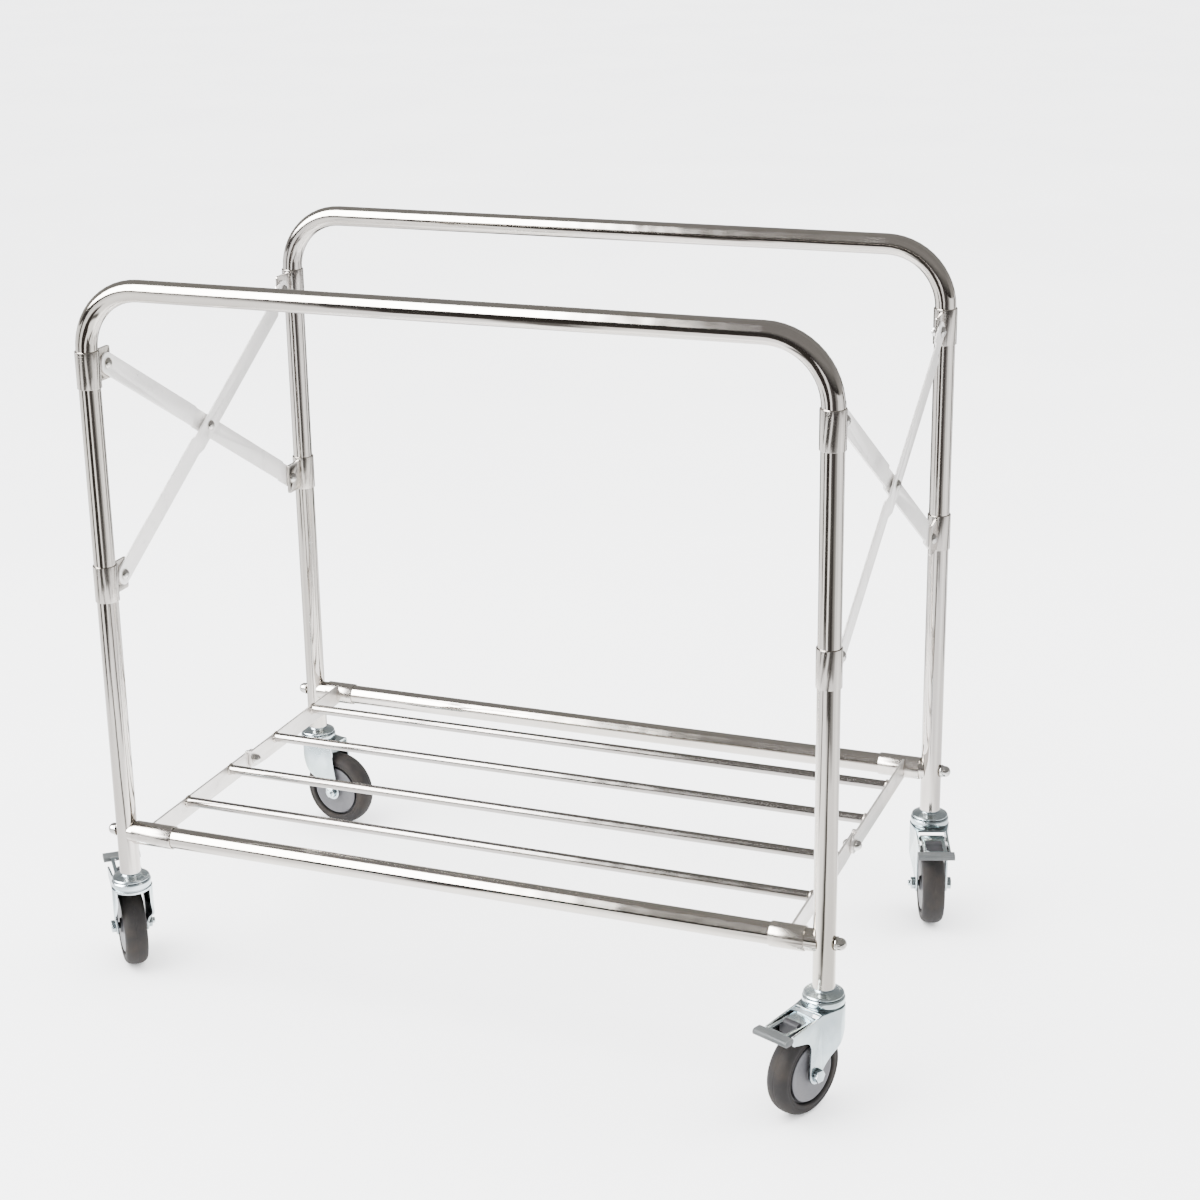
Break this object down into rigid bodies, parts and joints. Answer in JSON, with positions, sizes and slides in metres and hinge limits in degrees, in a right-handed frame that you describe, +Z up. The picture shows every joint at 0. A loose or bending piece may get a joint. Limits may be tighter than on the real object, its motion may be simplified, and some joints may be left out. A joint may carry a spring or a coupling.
{
  "type": "folding laundry cart frame",
  "caption": "Folding X-brace cart frame of bright steel tube for a linen bag, with a folding rod shelf and braked swivel casters.",
  "frame": {"origin": "on the floor, midway between the four legs", "axes": "+X along the cart's length, parallel to the top bars; +Y from the front side frame to the rear one; +Z up"},
  "size_m": [0.9896, 0.61, 0.862],
  "materials": {
    "polished_tube": "polished stainless steel tube, warm grey, mirror-like along its length",
    "collar_steel": "satin stainless sleeve",
    "flat_bar": "light brushed stainless flat bar",
    "rod_steel": "drawn bright stainless rod",
    "bolt_steel": "bright domed fastener",
    "zinc": "bluish bright zinc plating on pressed steel",
    "tyre_rubber": "dark grey solid rubber",
    "hub_plastic": "mauve-grey moulded disc",
    "shoe_rubber": "dark grey hard rubber brake shoe",
    "grip_plastic": "mid grey moulded tip"
  },
  "bodies": {
    "front_frame": {"front_frame_tube": "polished_tube", "front_lower_rail": "polished_tube", "front_upper_sleeves": "collar_steel", "front_frame_bolts": "bolt_steel", "front_caster_stems": "zinc"},
    "rear_frame": {"rear_frame_tube": "polished_tube", "rear_lower_rail": "polished_tube", "rear_upper_sleeves": "collar_steel", "rear_frame_bolts": "bolt_steel", "rear_caster_stems": "zinc"},
    "left_brace_a": {"left_brace_down_rear": "flat_bar", "left_centre_bolt": "bolt_steel"},
    "left_brace_b": {"left_brace_down_front": "flat_bar"},
    "right_brace_a": {"right_brace_down_rear": "flat_bar", "right_centre_bolt": "bolt_steel"},
    "right_brace_b": {"right_brace_down_front": "flat_bar"},
    "front_left_slider_body": {"front_left_slider": "collar_steel", "front_left_slider_bolt": "bolt_steel"},
    "front_right_slider_body": {"front_right_slider": "collar_steel", "front_right_slider_bolt": "bolt_steel"},
    "rear_left_slider_body": {"rear_left_slider": "collar_steel", "rear_left_slider_bolt": "bolt_steel"},
    "rear_right_slider_body": {"rear_right_slider": "collar_steel", "rear_right_slider_bolt": "bolt_steel"},
    "front_shelf": {"front_shelf_plain_bar": "flat_bar", "front_shelf_stop_bar": "flat_bar", "front_shelf_collars": "collar_steel", "front_shelf_rods": "rod_steel", "front_shelf_hinge_domes": "bolt_steel"},
    "rear_shelf": {"rear_shelf_plain_bar": "flat_bar", "rear_shelf_stop_bar": "flat_bar", "rear_shelf_collars": "collar_steel", "rear_shelf_rods": "rod_steel", "rear_shelf_hinge_domes": "bolt_steel"},
    "front_left_swivel": {"front_left_fork": "zinc", "front_left_axle": "zinc"},
    "front_left_wheel": {"front_left_tyre": "tyre_rubber", "front_left_hub": "hub_plastic"},
    "front_left_brake": {"front_left_pedal": "zinc", "front_left_brake_shoe": "shoe_rubber", "front_left_pedal_grip": "grip_plastic"},
    "front_right_swivel": {"front_right_fork": "zinc", "front_right_axle": "zinc"},
    "front_right_wheel": {"front_right_tyre": "tyre_rubber", "front_right_hub": "hub_plastic"},
    "front_right_brake": {"front_right_pedal": "zinc", "front_right_brake_shoe": "shoe_rubber", "front_right_pedal_grip": "grip_plastic"},
    "rear_left_swivel": {"rear_left_fork": "zinc", "rear_left_axle": "zinc"},
    "rear_left_wheel": {"rear_left_tyre": "tyre_rubber", "rear_left_hub": "hub_plastic"},
    "rear_right_swivel": {"rear_right_fork": "zinc", "rear_right_axle": "zinc"},
    "rear_right_wheel": {"rear_right_tyre": "tyre_rubber", "rear_right_hub": "hub_plastic"},
    "rear_right_brake": {"rear_right_pedal": "zinc", "rear_right_brake_shoe": "shoe_rubber", "rear_right_pedal_grip": "grip_plastic"}
  },
  "joints": [
    {"name": "fold", "type": "hinge", "parent": "front_frame", "child": "left_brace_a", "pos_m": [-0.4315, -0.212, 0.756], "axis": [-1, 0, 0], "range_deg": [0, 49.62]},
    {"name": "left_cross", "type": "hinge", "parent": "left_brace_a", "child": "left_brace_b", "pos_m": [-0.4315, 0, 0.6295], "axis": [-1, 0, 0], "range_deg": [-99.44, 0]},
    {"name": "rear_left_upper_pivot", "type": "hinge", "parent": "left_brace_b", "child": "rear_frame", "pos_m": [-0.4315, 0.212, 0.756], "axis": [-1, 0, 0], "range_deg": [0, 49.82]},
    {"name": "rear_left_slider_pivot", "type": "hinge", "parent": "left_brace_a", "child": "rear_left_slider_body", "pos_m": [-0.4315, 0.212, 0.503], "axis": [-1, 0, 0], "range_deg": [-49.82, 0]},
    {"name": "front_left_slider_pivot", "type": "hinge", "parent": "left_brace_b", "child": "front_left_slider_body", "pos_m": [-0.4315, -0.212, 0.503], "axis": [-1, 0, 0], "range_deg": [0, 49.82]},
    {"name": "front_right_upper_pivot", "type": "hinge", "parent": "front_frame", "child": "right_brace_a", "pos_m": [0.4315, -0.212, 0.756], "axis": [-1, 0, 0], "range_deg": [0, 49.82]},
    {"name": "rear_right_upper_pivot", "type": "hinge", "parent": "rear_frame", "child": "right_brace_b", "pos_m": [0.4315, 0.212, 0.756], "axis": [-1, 0, 0], "range_deg": [-49.82, 0]},
    {"name": "rear_right_slider_pivot", "type": "hinge", "parent": "right_brace_a", "child": "rear_right_slider_body", "pos_m": [0.4315, 0.212, 0.503], "axis": [-1, 0, 0], "range_deg": [-49.82, 0]},
    {"name": "front_right_slider_pivot", "type": "hinge", "parent": "right_brace_b", "child": "front_right_slider_body", "pos_m": [0.4315, -0.212, 0.503], "axis": [-1, 0, 0], "range_deg": [0, 49.82]},
    {"name": "front_shelf_pivot", "type": "hinge", "parent": "front_frame", "child": "front_shelf", "pos_m": [0, -0.246, 0.1895], "axis": [1, 0, 0], "range_deg": [0, 72.45]},
    {"name": "rear_shelf_pivot", "type": "hinge", "parent": "rear_frame", "child": "rear_shelf", "pos_m": [0, 0.246, 0.1895], "axis": [-1, 0, 0], "range_deg": [0, 72.45]},
    {"name": "front_left_swivel_joint", "type": "hinge", "parent": "front_frame", "child": "front_left_swivel", "pos_m": [-0.4315, -0.246, 0.12], "axis": [0, 0, 1], "continuous": true},
    {"name": "front_left_wheel_joint", "type": "hinge", "parent": "front_left_swivel", "child": "front_left_wheel", "pos_m": [-0.45336, -0.21995, 0.05], "axis": [-0.766, -0.6428, 0], "continuous": true},
    {"name": "front_left_brake_joint", "type": "hinge", "parent": "front_left_swivel", "child": "front_left_brake", "pos_m": [-0.44693, -0.22762, 0.1055], "axis": [-0.766, -0.6428, 0], "range_deg": [0, 9]},
    {"name": "front_right_swivel_joint", "type": "hinge", "parent": "front_frame", "child": "front_right_swivel", "pos_m": [0.4315, -0.246, 0.12], "axis": [0, 0, 1], "continuous": true},
    {"name": "front_right_wheel_joint", "type": "hinge", "parent": "front_right_swivel", "child": "front_right_wheel", "pos_m": [0.41822, -0.2773, 0.05], "axis": [0.9205, -0.3907, 0], "continuous": true},
    {"name": "front_right_brake_joint", "type": "hinge", "parent": "front_right_swivel", "child": "front_right_brake", "pos_m": [0.42212, -0.26809, 0.1055], "axis": [0.9205, -0.3907, 0], "range_deg": [-9, 0]},
    {"name": "rear_left_swivel_joint", "type": "hinge", "parent": "rear_frame", "child": "rear_left_swivel", "pos_m": [-0.4315, 0.246, 0.12], "axis": [0, 0, 1], "continuous": true},
    {"name": "rear_left_wheel_joint", "type": "hinge", "parent": "rear_left_swivel", "child": "rear_left_wheel", "pos_m": [-0.39802, 0.2401, 0.05], "axis": [0.1736, 0.9848, 0], "continuous": true},
    {"name": "rear_right_swivel_joint", "type": "hinge", "parent": "rear_frame", "child": "rear_right_swivel", "pos_m": [0.4315, 0.246, 0.12], "axis": [0, 0, 1], "continuous": true},
    {"name": "rear_right_wheel_joint", "type": "hinge", "parent": "rear_right_swivel", "child": "rear_right_wheel", "pos_m": [0.44257, 0.21385, 0.05], "axis": [0.9455, 0.3256, 0], "continuous": true},
    {"name": "rear_right_brake_joint", "type": "hinge", "parent": "rear_right_swivel", "child": "rear_right_brake", "pos_m": [0.43931, 0.22331, 0.1055], "axis": [0.9455, 0.3256, 0], "range_deg": [-9, 0]}
  ],
  "couplings": [
    {"joint": "left_cross", "follows": "fold", "ratio": -2},
    {"joint": "rear_left_upper_pivot", "follows": "fold", "ratio": 1},
    {"joint": "rear_left_slider_pivot", "follows": "fold", "ratio": -1},
    {"joint": "front_left_slider_pivot", "follows": "fold", "ratio": 1},
    {"joint": "front_right_upper_pivot", "follows": "fold", "ratio": 1},
    {"joint": "rear_right_upper_pivot", "follows": "fold", "ratio": -1},
    {"joint": "rear_right_slider_pivot", "follows": "fold", "ratio": -1},
    {"joint": "front_right_slider_pivot", "follows": "fold", "ratio": 1},
    {"joint": "front_shelf_pivot", "follows": "fold", "ratio": 1.456},
    {"joint": "rear_shelf_pivot", "follows": "fold", "ratio": 1.456}
  ]
}
